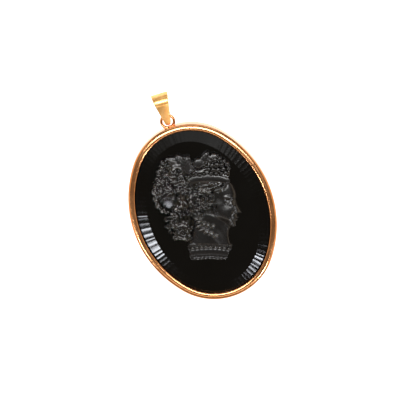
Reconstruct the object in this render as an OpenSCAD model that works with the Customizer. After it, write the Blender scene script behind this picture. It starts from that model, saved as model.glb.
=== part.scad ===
// Oval cameo pendant lying on its back: a gold-coloured bezel with a soldered
// ring, a black stone with a faceted bevel and a raised head, and a folded bail.
// X is to the right, Y points up towards the bail, Z points out of the front.
// The origin is the middle of the bezel's flat back.

/* [Bezel] */
// Length of the oval bezel along Y
bezel_length = 42; // [36:0.5:48]
// Width of the oval bezel along X
bezel_width = 32.6; // [31:0.2:34]
// Radius of the oval's two end arcs
end_radius = 13.7; // [13:0.1:14.5]
// Height of the bezel from its back to the crown
bezel_height = 3.3; // [3.3:0.1:3.6]
// Width of the rim seen from the front
rim_width = 1.45; // [1.3:0.05:1.5]
// Radius of the crown's outer side
crown_outer = 1; // [0.95:0.05:1.05]
// Thickness of the wall beside the stone
wall_thickness = 0.85; // [0.7:0.05:0.95]
// Thickness of the ledge that carries the stone
ledge_thickness = 0.6; // [0.4:0.05:0.8]
// Width of the bezel at its back, wall and ledge together
back_width = 1.8; // [1.5:0.05:2.2]

/* [Ring] */
// Thickness of the ring's wire
ring_wire = 0.65; // [0.5:0.05:0.7]
// Radius of the ring's centreline
ring_radius = 1.45; // [1.4:0.05:1.6]
// Distance from the end of the bezel to the ring's centre
ring_offset = 1.3; // [1.2:0.05:1.5]
// Height of the ring's centreline above the back
ring_height = 1.5; // [1.3:0.1:1.7]

/* [Stone] */
// Length of the stone at its girdle
stone_length = 40; // [34:0.5:46]
// Width of the stone at its girdle
stone_width = 30.6; // [29:0.2:32]
// Length of the flat table
table_length = 34.4; // [30:0.2:38]
// Width of the flat table
table_width = 24.6; // [23:0.2:26]
// Rise of the bevel from girdle to table
bevel_rise = 1.05; // [0.6:0.05:1.5]
// Height of the girdle's upper edge above the back
girdle_top = 2.5; // [2.3:0.05:2.6]
// Facets round the bevel
facet_count = 96; // [48:16:96]
// Gap kept between the stone and the bezel
stone_gap = 0.05; // [0.03:0.01:0.1]

/* [Head] */
// Lean of the head's upright from the stone's length
head_lean = 20.8; // [0:0.1:45]
// Rise of the head's origin above the middle of the stone
head_rise = 0.4; // [0:0.05:1]
// Greatest height of the raised head above the table
relief_height = 1.5; // [0.8:0.05:1.6]
// Width over which an edge of the relief climbs from the table
edge_width = 0.45; // [0.3:0.05:0.8]

/* [Bail] */
// Thickness of the folded strip
strip_thickness = 0.4; // [0.3:0.05:0.5]
// Outer radius of the roll at the top of the bail
roll_radius = 2; // [1.7:0.05:2.2]
// Outer radius of the fold at the narrow end
tip_radius = 1.05; // [0.95:0.05:1.15]
// Distance from the ring's centre to the roll's centre
roll_distance = 4.75; // [4.4:0.05:5.5]
// Distance that the narrow end reaches past the ring's centre
tip_reach = 0.9; // [0.7:0.05:0.95]
// Drop of the narrow end below the ring's centreline
tip_drop = 0.15; // [0:0.05:0.3]
// Width of the bail at its upper end
bail_width = 3.8; // [3.4:0.1:4.4]
// Width of the strip where it passes over the ring's wire
waist_width = 1.6; // [1.3:0.05:1.6]
// Angle that the bail has slid round its ring
bail_skew = 4; // [0:0.5:10]

/* [Hidden] */
$fn = 96;

half_length = bezel_length / 2;
half_width = bezel_width / 2;
end_centre = half_length - end_radius;
side_radius = (half_width ^ 2 + end_centre ^ 2 - end_radius ^ 2) / (2 * (half_width - end_radius));
side_centre = side_radius - half_width;
arc_split = atan2(end_centre, side_centre);

// The rim's section: x is zero at the outer wall and falls towards the stone.
crown_inner = rim_width - crown_outer;
back_round = 0.25;
bevel_width = (stone_length - table_length) / 2;
bevel_slope = bevel_rise / bevel_width;
girdle_inset = (bezel_length - stone_length) / 2;
lip_floor = girdle_top + (rim_width - girdle_inset) * bevel_slope + stone_gap;
crown_floor = girdle_top + (crown_outer - girdle_inset) * bevel_slope + stone_gap;
seat_floor = girdle_top - (girdle_inset - wall_thickness) * bevel_slope + stone_gap;

ring_y = half_length + ring_offset;
stone_back = ledge_thickness + stone_gap;
table_height = girdle_top + bevel_rise;

// The table is a net of cells with three of its edge cells beside each facet.
facet_cells = 3;
cells = facet_cells * facet_count;
net_columns = cells * 5 / 24;
net_rows = cells * 7 / 24;
net_step = 360 / cells;
corner_turn = net_columns * net_step / 2;

// The head is drawn in its own millimetres: x towards the face, y towards the crown.
// Outlines run round each mass once.
FACE = [
    [1.0, 8.0], [4.5, 7.9], [6.35, 6.7], [7.0, 5.6], [7.4, 4.5], [7.52, 3.6],
    [7.42, 2.85], [7.62, 2.1], [8.02, 1.25], [8.48, 0.45], [8.72, 0.02], [8.66, -0.22],
    [8.35, -0.36], [7.88, -0.42], [7.78, -0.75], [7.98, -1.02], [8.08, -1.22],
    [7.98, -1.42], [7.72, -1.5], [7.94, -1.62], [7.97, -1.85], [7.75, -2.06],
    [7.5, -2.26], [7.56, -2.6], [7.62, -2.95], [7.45, -3.3], [7.0, -3.58],
    [6.2, -3.62], [5.2, -3.35], [4.0, -2.85], [2.8, -2.1], [1.9, -1.0], [1.5, 0.4], [0.6, 3.0]
];
NECK = [
    [-2.2, 1.0], [4.0, -1.0], [6.1, -3.2], [5.95, -4.2], [5.9, -5.2], [6.0, -6.2],
    [6.25, -7.2], [6.6, -8.0], [1.8, -7.9], [-3.0, -7.6], [-2.4, -6.0], [-2.1, -4.0]
];
HAIR = [
    [5.5, 7.3], [6.1, 8.6], [6.0, 10.4], [4.9, 12.2], [2.4, 13.2], [0.2, 12.7], [-2.0, 12.0],
    [-4.5, 12.9], [-7.0, 12.2], [-8.8, 10.6], [-10.0, 8.6], [-10.5, 6.2], [-10.4, 3.6],
    [-9.5, 1.2], [-8.2, -0.6], [-7.4, -2.8], [-6.6, -4.6], [-5.6, -6.4], [-4.0, -6.9], [-2.9, -6.6],
    [-2.3, -4.4], [-2.0, -2.0], [-1.0, -0.5], [0.8, 0.2], [2.2, 1.2], [2.9, 2.6], [2.8, 4.0], [4.4, 5.6]
];
COLLAR = [
    [-3.1, -7.3], [1.5, -7.6], [6.5, -7.75], [6.0, -9.4], [5.0, -11.1], [1.2, -11.0], [-2.5, -11.2], [-3.0, -9.3]
];

// Columns of the tables below: middle, half length, half width, turn and rise.
MIDDLE = 0;
HALF_LENGTH = 1;
HALF_WIDTH = 2;
TURN = 3;
RISE = 4;

FEATURES = [
    [[6.2, 3.45], 2, 0.75, -4, 0.2],        // brow
    [[3.2, 3.4], 2, 1.8, 0, -0.12],         // temple
    [[6.15, 2.35], 1.6, 1.15, 8, -0.4],     // hollow of the eye
    [[6.55, 2.15], 0.9, 0.7, 0, 0.3],       // eyeball
    [[4.7, 1], 2.6, 1.3, -8, 0.2],          // cheekbone
    [[4.9, -0.6], 2.6, 2.2, 0, 0.12],       // cheek
    [[7.1, -1.45], 1.7, 1.7, 0, 0.16],      // muzzle
    [[7.62, 0.05], 0.8, 0.65, 0, 0.26],     // wing of the nose
    [[7.4, -1.25], 0.9, 0.42, 8, 0.14],     // upper lip
    [[7.4, -1.85], 0.8, 0.42, -4, 0.14],    // lower lip
    [[7.25, -2.35], 1, 0.4, 0, -0.12],      // hollow under the lip
    [[7, -2.95], 1.25, 0.95, 0, 0.22]       // chin
];
WREATH = [
    [[-7, 12.2], 1.7, 0.85, 160, 0.36],     // four leaves round the large one
    [[-5.2, 13], 1.8, 0.95, 118, 0.42],
    [[-3.1, 12.6], 1.4, 0.75, 70, 0.38],
    [[-5.6, 11], 1.6, 0.9, 16, 0.38],
    [[-3.7, 11], 2.1, 1.3, 104, 0.5],       // large leaf
    [[2.4, 13.1], 1.4, 0.65, 12, 0.34],     // two leaves beside the berries
    [[0.4, 12.5], 1.9, 1, 62, 0.5],
    [[-1, 11.3], 1.6, 1.6, 0, 0.35],        // bud on its ring of beads
    [[-1, 11.4], 1.22, 1.22, 0, 0.55],
    [[-2.5, 9.6], 0.5, 0.5, 0, 0.35],       // small berries under it
    [[-1.6, 8.9], 0.5, 0.5, 0, 0.35],
    [[-0.7, 8.8], 0.5, 0.5, 0, 0.35],
    [[0.3, 9], 0.5, 0.5, 0, 0.35]
];
BERRIES = [
    [1.6, 11.9], [2.7, 12.2], [3.8, 12.5], [4.8, 11.9], [2.1, 10.9], [3.2, 11.1], [4.3, 11.1], [5.5, 11.2],
    [1.3, 10.1], [2.4, 9.9], [3.5, 9.9], [4.7, 10.1], [5.8, 10.2], [4.2, 9.1], [5.2, 9.2], [3, 9.1], [1.9, 9.1]
];
berry_radius = 0.62;
berry_rise = 0.45;
// Knot of hair, and the dome that its surface is taken from, with its top off to the right
KNOT = [[-7.45, 2.35], 2.05, 2.1, 0];
KNOT_DOME = [[-6.1, 3], 3.5, 3.6, 0, 1.15];
knot_floor = 0.3;
knot_rim = 0.7;
knot_rim_width = 0.25;
// Columns: middle and radius.
CURLS = [
    [[-10.75, 6.2], 0.95], [[-11, 4.6], 0.85], [[-10.85, 3], 0.9], [[-10.1, 1.6], 0.85],
    [[-9, 0.5], 0.75], [[-9.5, 5.4], 0.7], [[-7.8, 12.3], 0.6], [[-8.9, 11.6], 0.75],
    [[-9.4, 10.4], 0.85], [[-9.5, 9.5], 0.85], [[-9.55, 8.6], 0.85], [[-9.7, 7.7], 0.85],
    [[1.65, 2.8], 0.95], [[1.35, 1.35], 0.6], [[-7.6, -3.3], 0.8], [[-8.2, -1.7], 0.6],
    [[-5.6, -2.3], 0.55], [[-4.9, -4.9], 1.95], [[-6.3, -6.1], 0.6], [[-3, -6.1], 0.55]
];
CURL_MIDDLE = 0;
CURL_RADIUS = 1;
curl_rise = 0.4;
// Smooth ribbon under the wreath
RIBBON = [[-3, 7.2], [-1.4, 7.8], [0.6, 8], [3, 7.9], [5.5, 7.4]];
ribbon_radius = 0.85;
ribbon_rise = 0.34;
// Two rope-like locks that hang over the neck
ROPES = [
    [[-1.5, -1.4], [-0.6, -2.4], [0.7, -2.9], [2.3, -3.3]],
    [[-1, -3.2], [0.1, -4.2], [1.5, -4.7], [3, -5.6]]
];
rope_radius = 0.5;
rope_floor = 0.95;
rope_rise = 0.4;

// Heights over the table at the edge of a mass, with the rise from there to its middle
// and the width that the rise takes.
swell_floor = 0.35;
SWELL = [[-2, 4], 14, 15, 0, 0.75];
least_fill = 0.02;
hair_floor = 0.5;
hair_rise = 0.4;
hair_reach = 1.6;
face_floor = 0.24;
face_rise = 1.06;
face_reach = 5;
neck_floor = 0.3;
neck_rise = 0.72;
neck_middle = 1.9;
neck_reach = 4.9;
neck_rim = 0.55;
neck_rim_width = 0.8;
collar_floor = 0.5;
collar_rise = 0.4;
collar_middle = 1.4;
collar_reach = 5.6;
arch_rise = 0.45;
arch_middle = 1.5;
arch_reach = 4.6;
// Lower limits of the collar's bands, and how far they stand out
beaded_end = -9;
beaded_rise = 0.3;
plain_end = -10.1;
foot_rise = 0.12;

module bezel_section() {
    crown_foot = bezel_height - crown_outer;
    crown_lip = bezel_height - crown_inner;
    // crown, rounded to the outside and to the stone
    intersection() {
        translate([-crown_outer, crown_foot]) circle(r = crown_outer);
        polygon([
            [-crown_outer, bezel_height],
            [-crown_outer, crown_floor],
            [-wall_thickness, seat_floor],
            [-wall_thickness, crown_foot],
            [0, crown_foot],
            [0, bezel_height]
        ]);
    }
    intersection() {
        translate([-crown_outer, crown_lip]) circle(r = crown_inner);
        translate([-rim_width, crown_lip]) square(crown_inner);
    }
    // lip over the bevel
    polygon([
        [-rim_width, crown_lip],
        [-rim_width, lip_floor],
        [-crown_outer, crown_floor],
        [-crown_outer, crown_lip]
    ]);
    // wall beside the girdle and ledge under the stone
    polygon([
        [-wall_thickness, crown_foot],
        [-wall_thickness, ledge_thickness],
        [-back_width, ledge_thickness],
        [-back_width, 0],
        [-back_round, 0],
        [0, back_round],
        [0, crown_foot]
    ]);
}

module oval_arc(radius, from, sweep) {
    rotate([0, 0, from]) rotate_extrude(angle = sweep) translate([radius, 0]) bezel_section();
}

module ring() {
    translate([0, ring_y, ring_height])
        rotate_extrude() translate([ring_radius, 0]) circle(d = ring_wire);
}

module bezel() {
    color([0.80, 0.53, 0.31]) union() {
        for (side = [1, -1]) {
            translate([0, side * end_centre, 0])
                oval_arc(end_radius, side * 90 - (90 - arc_split), 2 * (90 - arc_split));
            translate([-side * side_centre, 0, 0])
                oval_arc(side_radius, (1 - side) * 90 - arc_split, 2 * arc_split);
        }
        ring();
    }
}

// Points round an ellipse, as corners of the facets.
function facet_corner(k, length, width, z) =
    let (turn = 360 * k / facet_count)
    [width / 2 * sin(turn), length / 2 * cos(turn), z];

function between(a, b, share) = a * (1 - share) + b * share;
function total(values) = values * [for (v = values) 1];
function clip(value) = min(max(value, 0), 1);

// Rise of an edge from 0 to 1, half way up on the outline itself.
function edge(depth) = clip(depth / edge_width + 0.5);
function quarter_round(depth, width) = sqrt(1 - (1 - clip(depth / width)) ^ 2);

// Distance of a point from the line between a and b.
function line_distance(p, a, b) =
    let (along = b - a, share = clip((p - a) * along / (along * along)))
    norm(p - between(a, b, share));

// Depth of a point inside an outline, negative outside it.
function depth_in(p, outline) =
    let (
        n = len(outline),
        near = min([for (i = [0 : n - 1]) line_distance(p, outline[i], outline[(i + 1) % n])]),
        passed = [for (i = [0 : n - 1])
            let (a = outline[i], b = outline[(i + 1) % n])
            if ((a.y > p.y) != (b.y > p.y) && p.x < between(a.x, b.x, (p.y - a.y) / (b.y - a.y))) i]
    )
    len(passed) % 2 == 1 ? near : -near;

// 1 in the middle of an ellipse and 0 on its rim.
function fill(p, e) =
    let (
        d = p - e[MIDDLE],
        u = (d.x * cos(e[TURN]) + d.y * sin(e[TURN])) / e[HALF_LENGTH],
        v = (d.y * cos(e[TURN]) - d.x * sin(e[TURN])) / e[HALF_WIDTH]
    )
    1 - u * u - v * v;

// Soft bell that is added to the face, and a mound that stands on the swell of the hair.
function bell(p, e) = e[RISE] * max(fill(p, e), 0) ^ 2;
function mound(p, e) =
    let (q = fill(p, e))
    hair_swell(p) * edge(q * e[HALF_WIDTH] / 2) + e[RISE] * max(q, 0);

// The broad swell that hair and wreath lie on.
function hair_swell(p) = swell_floor + SWELL[RISE] * sqrt(max(fill(p, SWELL), least_fill));

// 1 at the middle of a width and 0 from its reach on, round in between.
function round_over(x, middle, reach) = max(1 - ((x - middle) / reach) ^ 2, 0);

function knot(p) =
    let (q = fill(p, KNOT))
    edge(q * KNOT[HALF_WIDTH] / 2) * (knot_floor + KNOT_DOME[RISE] * sqrt(max(fill(p, KNOT_DOME), 0))
    * (knot_rim + (1 - knot_rim) * quarter_round(q, knot_rim_width)));
function hair(p) =
    let (depth = depth_in(p, HAIR))
    hair_swell(p) * edge(depth) * (hair_floor + hair_rise * quarter_round(depth, hair_reach));
function face(p) =
    let (depth = depth_in(p, FACE))
    edge(depth) * (face_floor + face_rise * quarter_round(depth, face_reach) + total([for (e = FEATURES) bell(p, e)]));
function neck(p) =
    let (depth = depth_in(p, NECK))
    edge(depth) * (neck_floor + neck_rise * sqrt(round_over(p.x, neck_middle, neck_reach)))
    * (neck_rim + (1 - neck_rim) * quarter_round(depth, neck_rim_width));

// 1 on a line through points and 0 from the radius on.
function along_line(p, line, radius) =
    1 - (min([for (i = [0 : len(line) - 2]) line_distance(p, line[i], line[i + 1])]) / radius) ^ 2;
function ribbon(p) =
    let (q = along_line(p, RIBBON, ribbon_radius))
    q > 0 ? hair_swell(p) + ribbon_rise * sqrt(q) : 0;
function ropes(p) = max([for (rope = ROPES)
    let (q = along_line(p, rope, rope_radius))
    q > 0 ? rope_floor + rope_rise * q : 0]);

// Collar of three arched bands, the beaded one on top.
function collar(p) =
    let (
        depth = depth_in(p, COLLAR),
        arched = p.y - arch_rise * round_over(p.x, arch_middle, arch_reach),
        band = arched > beaded_end ? beaded_rise : arched > plain_end ? 0 : foot_rise
    )
    edge(depth) * (collar_floor + band + collar_rise * sqrt(round_over(p.x, collar_middle, collar_reach)));

// Height of the head over the table at a point of the carving.
function relief(p) = min(relief_height, max(concat(
    [face(p), neck(p), ropes(p), collar(p), hair(p), knot(p), ribbon(p)],
    [for (e = WREATH) mound(p, e)],
    [for (b = BERRIES) mound(p, [b, berry_radius, berry_radius, 0, berry_rise])],
    [for (c = CURLS) mound(p, [c[CURL_MIDDLE], c[CURL_RADIUS], c[CURL_RADIUS], 0, curl_rise])]
)));

// The place on the carving of a point on the stone.
function carving(p) = [
    p.x * cos(head_lean) - p.y * sin(head_lean),
    p.x * sin(head_lean) + p.y * cos(head_lean) - head_rise
];

// Number of an edge cell, counted clockwise from the upper end.
function edge_number(i, j) =
    j == net_rows ? i - net_columns / 2 :
    i == net_columns ? net_columns / 2 + net_rows - j :
    j == 0 ? net_columns * 3 / 2 + net_rows - i :
    net_columns * 3 / 2 + net_rows + j;
function edge_point(number) =
    let (k = floor(number / facet_cells))
    between(
        facet_corner(k, table_length, table_width, table_height),
        facet_corner(k + 1, table_length, table_width, table_height),
        number / facet_cells - k
    );
function inner_point(i, j) =
    let (
        across = net_step * (i - net_columns / 2),
        along = net_step * (j - net_rows / 2),
        x = table_width / 2 * sin(across) * cos(along) / sin(corner_turn),
        y = table_length / 2 * cos(across) * sin(along) / cos(corner_turn)
    )
    [x, y, table_height + relief(carving([x, y]))];
function net_point(i, j) =
    i == 0 || i == net_columns || j == 0 || j == net_rows ? edge_point(edge_number(i, j)) : inner_point(i, j);

// Index of a net point, and of the one with a given number on the edge.
function net_index(i, j) = j * (net_columns + 1) + i;
function edge_index(number) =
    let (s = (number + net_columns / 2) % cells)
    s <= net_columns ? net_index(s, net_rows) :
    s <= net_columns + net_rows ? net_index(net_columns, net_columns + net_rows - s) :
    s <= 2 * net_columns + net_rows ? net_index(2 * net_columns + net_rows - s, 0) :
    net_index(0, s - 2 * net_columns - net_rows);

module stone() {
    n = facet_count;
    net = [for (j = [0 : net_rows]) for (i = [0 : net_columns]) net_point(i, j)];
    girdle = [for (k = [0 : n - 1]) facet_corner(k, stone_length, stone_width, girdle_top)];
    back = [for (k = [0 : n - 1]) facet_corner(k, stone_length, stone_width, stone_back)];
    from_girdle = len(net);
    from_back = from_girdle + n;
    table_faces = [for (j = [0 : net_rows - 1]) for (i = [0 : net_columns - 1])
        each [
            [net_index(i, j), net_index(i, j + 1), net_index(i + 1, j + 1)],
            [net_index(i, j), net_index(i + 1, j + 1), net_index(i + 1, j)]
        ]];
    bevel_faces = [for (k = [0 : n - 1])
        let (here = from_girdle + k, next = from_girdle + (k + 1) % n)
        each concat(
            [[edge_index(facet_cells * k), here, next]],
            [for (m = [0 : facet_cells - 1])
                [edge_index(facet_cells * k + m), next, edge_index(facet_cells * k + m + 1)]]
        )];
    girdle_faces = [for (k = [0 : n - 1])
        [from_girdle + k, from_back + k, from_back + (k + 1) % n, from_girdle + (k + 1) % n]];
    color([0.07, 0.07, 0.08]) polyhedron(
        points = concat(net, girdle, back),
        faces = concat(table_faces, bevel_faces, girdle_faces, [[for (k = [n - 1 : -1 : 0]) from_back + k]])
    );
}

// Outline of a strip round two circles, with straight sides that touch both.
module loop_outline(from, from_radius, to, to_radius) {
    reach = to - from;
    heading = atan2(reach.y, reach.x);
    lean = acos((from_radius - to_radius) / norm(reach));
    function rim_point(centre, radius, side) =
        centre + radius * [cos(heading + side * lean), sin(heading + side * lean)];
    translate(from) circle(r = from_radius);
    translate(to) circle(r = to_radius);
    polygon([
        rim_point(from, from_radius, 1),
        rim_point(from, from_radius, -1),
        rim_point(to, to_radius, -1),
        rim_point(to, to_radius, 1)
    ]);
}

// Side view of the bail: x runs from the ring's centre outwards, y is height above the ring.
module bail_side() {
    tip = [tip_radius - tip_reach, -tip_drop];
    roll = [roll_distance, roll_radius - ring_height];
    difference() {
        loop_outline(tip, tip_radius, roll, roll_radius);
        loop_outline(tip, tip_radius - strip_thickness, roll, roll_radius - strip_thickness);
    }
}

// Front view of the bail: a taper with a round narrow end.
module bail_front() {
    top = roll_distance + roll_radius;
    taper = (bail_width - waist_width) / 2 / (top - ring_radius);
    function half_at(y) = waist_width / 2 + (y - ring_radius) * taper;
    nose = half_at(-tip_reach) / (sqrt(1 + taper ^ 2) - taper);
    nose_y = nose - tip_reach;
    flank = nose * [cos(atan(taper)), -sin(atan(taper))];
    polygon([
        [-flank.x, nose_y + flank.y],
        [flank.x, nose_y + flank.y],
        [half_at(top + 1), top + 1],
        [-half_at(top + 1), top + 1]
    ]);
    translate([0, nose_y]) circle(r = nose);
}

module bail() {
    color([0.85, 0.62, 0.36])
    translate([0, ring_y, ring_height]) rotate([0, 0, -bail_skew])
    intersection() {
        rotate([90, 0, 90]) translate([0, 0, -bail_width]) linear_extrude(2 * bail_width) bail_side();
        translate([0, 0, -bail_width]) linear_extrude(3 * bail_width) bail_front();
    }
}

bezel();
stone();
bail();
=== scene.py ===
"""Looks of an oval cameo pendant: rose-gold bezel with ring, black glass with a raised head, satin bail.

Lengths in this file are millimetres until they go into a mesh, where MM turns them to metres."""
import math

import bmesh
import bpy
import numpy as np
from mathutils import Matrix, Vector


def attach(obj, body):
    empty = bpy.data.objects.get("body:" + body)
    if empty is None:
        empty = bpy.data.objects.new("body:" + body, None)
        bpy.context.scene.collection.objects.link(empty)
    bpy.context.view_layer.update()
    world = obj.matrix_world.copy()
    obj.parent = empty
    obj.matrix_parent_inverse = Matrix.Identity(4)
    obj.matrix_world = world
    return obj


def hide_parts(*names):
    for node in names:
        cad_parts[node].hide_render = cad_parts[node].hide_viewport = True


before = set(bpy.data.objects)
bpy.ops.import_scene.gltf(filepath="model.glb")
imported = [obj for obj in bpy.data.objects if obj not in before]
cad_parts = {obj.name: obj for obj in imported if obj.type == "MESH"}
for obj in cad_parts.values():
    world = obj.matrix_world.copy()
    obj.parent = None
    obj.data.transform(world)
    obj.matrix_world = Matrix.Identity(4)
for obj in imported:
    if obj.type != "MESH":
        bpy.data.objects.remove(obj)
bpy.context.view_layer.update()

MM = 0.001
OBJECT_SEED = 7

# Bezel, an oval of four arcs
BEZEL_LENGTH = 42.0
BEZEL_WIDTH = 32.6
END_RADIUS = 13.7
BEZEL_HEIGHT = 3.3
RIM_WIDTH = 1.45
# The crown is a little fuller than the solid's, whose round section fuses cleanly
CROWN_PLACE = 1.0
CROWN_OUTER_RADIUS = 1.4
CROWN_INNER_RADIUS = 0.7
OUTER_EDGE = 0.12
INNER_EDGE = 0.08
WALL = 0.85
LEDGE = 0.6
BACK_WIDTH = 1.8
BACK_ROUND = 0.25
LEDGE_CHAMFER = 0.1
SEAT_GAP = 0.05
ARC_STEPS = 80

# Ring soldered on the bezel's end
RING_WIRE = 0.65
RING_RADIUS = 1.45
RING_Y = BEZEL_LENGTH / 2 + 1.3
RING_HEIGHT = 1.5
SOLDER_RADIUS = 0.5
SOLDER_REACH = 0.06
SOLDER_SHAPE = (1.5, 0.5, 0.85)

# Stone
STONE_LENGTH = 40.0
STONE_WIDTH = 30.6
TABLE_LENGTH = 34.4
TABLE_WIDTH = 24.6
GIRDLE_TOP = 2.5
TABLE_HEIGHT = 3.55
STONE_BACK = 0.65
# A few more than on the solid, so that the stripes are as narrow as in the photograph
FACETS = 104
FACET_STEPS = 10
BEVEL_ROWS = 8
FLUTE_DEPTH = 0.016
# Least and most share of that depth, and how far a flute leans, and its edges shift in facets
FLUTE_SPREAD = (0.55, 1.3)
FLUTE_LEAN = 0.012
FLUTE_SHIFT = 0.3
GIRDLE_EDGE = 0.08

# Bail, a strip folded into a closed loop
STRIP = 0.4
ROLL_RADIUS = 2.0
ROLL_DISTANCE = 4.75
TIP_RADIUS = 1.05
TIP_REACH = 0.9
TIP_DROP = 0.15
BAIL_WIDTH = 3.8
# A little narrower than the solid's, as in the photograph
WAIST_WIDTH = 1.4
BAIL_SKEW = 4.0
BAIL_EDGE = 0.07
NOSE_LEAST = 0.12
ROLL_STEPS = 48
TIP_STEPS = 40
STRAIGHT_STEPS = 14

# The head stands on the table, leaning from the stone's length
HEAD_LEAN = math.radians(20.8)
HEAD_DROP = -0.4
CARVING_PITCH = 0.07
CARVING_FOOT = -0.06
RELIEF_HEIGHT = 1.5
SOFT_TOP = 1.2
# Channels are cut only into carving that stands higher than this, and never deeper than the floor
STANDING = 0.3
CHANNEL_FLOOR = 0.25
# Grooves between strands, and the veins and midrib of a leaf
GROOVE = 0.20
VEIN_SPACING = 0.8
VEIN_RISE = 0.06
MIDRIB_RISE = 0.10
MIDRIB_WIDTH = 0.12
LEAF_RIM = 0.12
# Rows of ringlets lie closer than ringlets in a row, as in any close packing
ROW_SPACING = 0.87
# More than any distance on the stone
FAR = 1e9

# The photograph's view, with image-up seen in the pendant's own frame
IMAGE_UP_TURN = math.radians(20.8)
VIEW_ELEVATION = math.radians(76.0)
VIEW_DISTANCE = 600.0
PHOTO_SIZE = 400.0
PIXELS_PER_MM = 4.405
OVAL_PIXEL = (202.7, 212.0)
OVAL_HEIGHT = 2.45

# Light table under the pendant, its side in metres, so little below it that no gap shows
FLOOR_SIDE = 1.6
FLOOR_DROP = 0.02


def linear(hex_colour):
    """Turns an sRGB hex colour to the linear values that a shader takes."""
    out = []
    for i in (0, 2, 4):
        value = int(hex_colour[i:i + 2], 16) / 255
        out.append(value / 12.92 if value <= 0.04045 else ((value + 0.055) / 1.055) ** 2.4)
    return (*out, 1.0)


def add_node(tree, kind, settings=None, links=None, stops=()):
    """Adds a node, sets its properties and inputs, links outputs to its inputs and fills its ramp."""
    node = tree.nodes.new(kind)
    for name, value in (settings or {}).items():
        if name in node.inputs:
            node.inputs[name].default_value = value
        else:
            setattr(node, name, value)
    for name, source in (links or {}).items():
        tree.links.new(source, node.inputs[name])
    for i, (position, colour) in enumerate(stops):
        stop = node.color_ramp.elements[i] if i < 2 else node.color_ramp.elements.new(position)
        stop.position = position
        stop.color = linear(colour)
    return node


def new_material(name):
    """An empty material, its node tree and the piece's own coordinates."""
    material = bpy.data.materials.new(name)
    material.use_nodes = True
    tree = material.node_tree
    tree.nodes.clear()
    return material, tree, add_node(tree, "ShaderNodeTexCoord").outputs["Object"]


def polished_rose_gold_plate():
    """Rose-gold electroplate over cast brass, buffed on a wheel.

    A clear mirror with a warm copper cast, softened by fine buffing lines and by handling."""
    material, tree, place = new_material("polished_rose_gold_plate")
    cloud = add_node(tree, "ShaderNodeTexNoise",
                     {"Scale": 1 / (4 * MM), "Detail": 4.0, "Roughness": 0.6}, {"Vector": place})
    # buffing lines are 0.05 mm apart on the real rim, drawn at 0.15 mm to show
    lines = add_node(tree, "ShaderNodeTexNoise",
                     {"Scale": 1 / (0.15 * MM), "Detail": 2.0}, {"Vector": place})
    colour = add_node(tree, "ShaderNodeValToRGB", links={"Fac": cloud.outputs["Fac"]},
                      stops=[(0.3, "DE9C67"), (0.7, "EAAA77")])
    rough = add_node(tree, "ShaderNodeMapRange",
                     {"From Min": 0.3, "From Max": 0.75, "To Min": 0.19, "To Max": 0.25},
                     {"Value": cloud.outputs["Fac"]})
    bump = add_node(tree, "ShaderNodeBump", {"Strength": 0.015, "Distance": 0.01 * MM},
                    {"Height": lines.outputs["Fac"]})
    shader = add_node(tree, "ShaderNodeBsdfPrincipled", {"Metallic": 1.0},
                      {"Base Color": colour.outputs["Color"], "Roughness": rough.outputs["Result"],
                       "Normal": bump.outputs["Normal"]})
    add_node(tree, "ShaderNodeOutputMaterial", links={"Surface": shader.outputs["BSDF"]})
    return material


def satin_yellow_gold_plate():
    """Yellow-gold plate on brass strip, brushed along its length.

    A soft sheen drawn out across the brushing, warmer and yellower than the bezel."""
    material, tree, place = new_material("satin_yellow_gold_plate")
    # brush lines 0.06 mm apart and 2 mm long, along the bail
    stretched = add_node(tree, "ShaderNodeMapping",
                         {"Scale": (1 / (0.06 * MM), 1 / (2 * MM), 1 / (0.06 * MM)),
                          "Rotation": (0.0, 0.0, math.radians(BAIL_SKEW))}, {"Vector": place})
    lines = add_node(tree, "ShaderNodeTexNoise", {"Scale": 1.0, "Detail": 3.0},
                     {"Vector": stretched.outputs["Vector"]})
    cloud = add_node(tree, "ShaderNodeTexNoise", {"Scale": 1 / (1.5 * MM), "Detail": 3.0},
                     {"Vector": place})
    colour = add_node(tree, "ShaderNodeValToRGB", links={"Fac": cloud.outputs["Fac"]},
                      stops=[(0.3, "F7BA6C"), (0.7, "FFD592")])
    # the chain has rubbed the roll bright, the strip below it is still brushed
    spot = add_node(tree, "ShaderNodeSeparateXYZ", links={"Vector": place})
    worn = add_node(tree, "ShaderNodeMapRange",
                    {"From Min": 3.0 * MM, "From Max": 3.8 * MM, "To Min": 0.50, "To Max": 0.32},
                    {"Value": spot.outputs["Z"]})
    streaks = add_node(tree, "ShaderNodeMapRange",
                       {"From Min": 0.3, "From Max": 0.7, "To Min": -0.04, "To Max": 0.06},
                       {"Value": lines.outputs["Fac"]})
    rough = add_node(tree, "ShaderNodeMath", {"operation": "ADD"})
    tree.links.new(worn.outputs["Result"], rough.inputs[0])
    tree.links.new(streaks.outputs["Result"], rough.inputs[1])
    bump = add_node(tree, "ShaderNodeBump", {"Strength": 0.25, "Distance": 0.01 * MM},
                    {"Height": lines.outputs["Fac"]})
    shader = add_node(tree, "ShaderNodeBsdfPrincipled", {"Metallic": 1.0},
                      {"Base Color": colour.outputs["Color"], "Roughness": rough.outputs["Value"],
                       "Normal": bump.outputs["Normal"]})
    add_node(tree, "ShaderNodeOutputMaterial", links={"Surface": shader.outputs["BSDF"]})
    return material


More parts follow.
